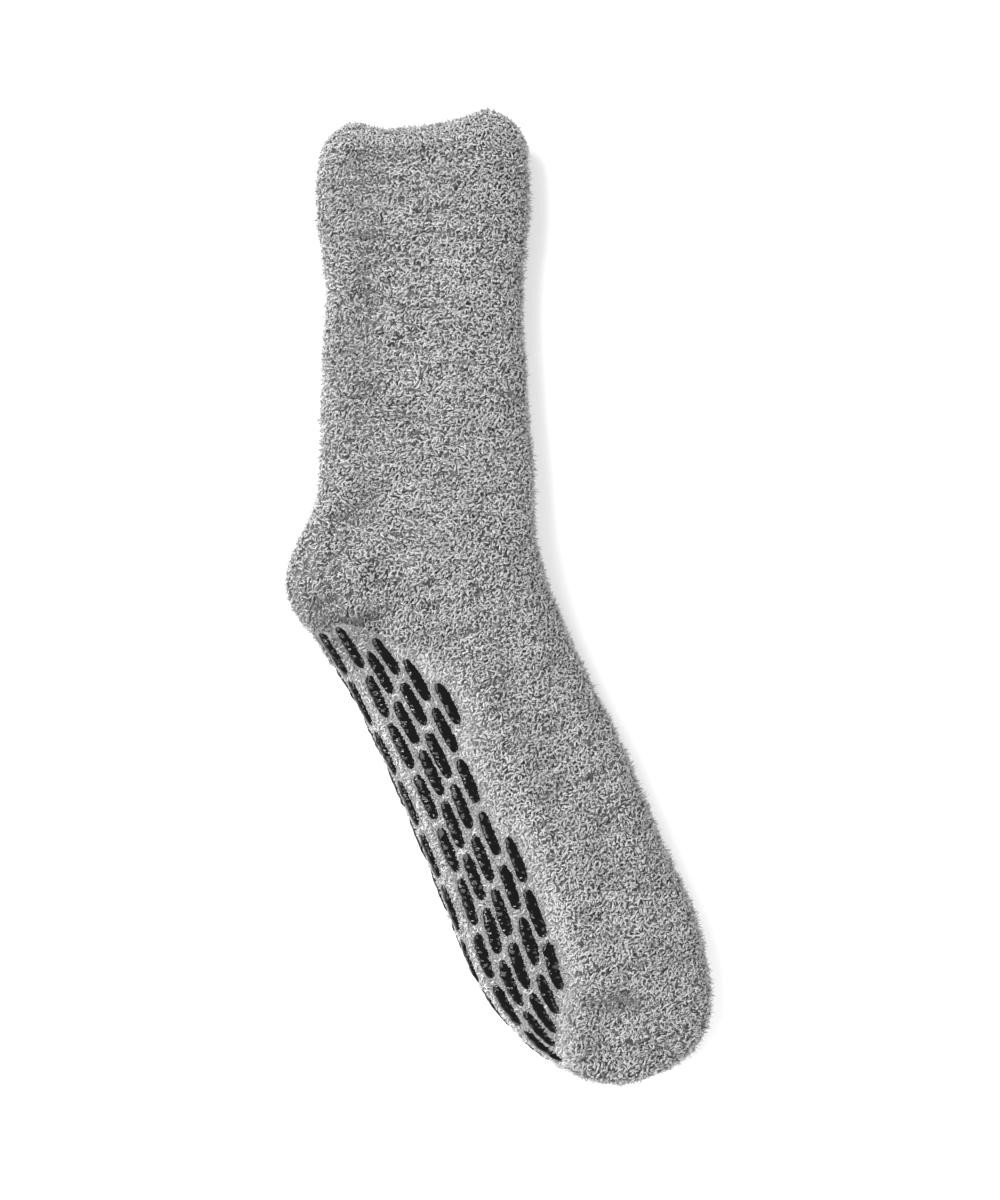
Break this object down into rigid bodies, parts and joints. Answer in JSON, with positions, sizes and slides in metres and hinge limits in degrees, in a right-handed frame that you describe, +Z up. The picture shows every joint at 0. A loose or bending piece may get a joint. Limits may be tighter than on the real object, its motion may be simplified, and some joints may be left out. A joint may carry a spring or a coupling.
{
  "type": "slipper sock",
  "caption": "Plush knitted slipper sock lying flat on its side, hollow and open at the collar, with a turned hem and a grip sole of raised silicone strokes.",
  "frame": {"origin": "on the floor under the middle of the whole sock as it lies on its side", "axes": "+Z up from the side that lies on the floor, +Y along the leg towards the collar, the toe towards -Y and +X, the sole facing -X"},
  "size_m": [0.1696, 0.3878, 0.0327],
  "materials": {
    "plush_knit": "deep chenille pile of short curled locks, matt, mid grey",
    "grip_silicone": "glossy black silicone printed in raised strokes"
  },
  "bodies": {
    "root": {"knit_upper": "plush_knit", "collar_welt": "plush_knit", "grip_sole": "grip_silicone"}
  },
  "joints": []
}
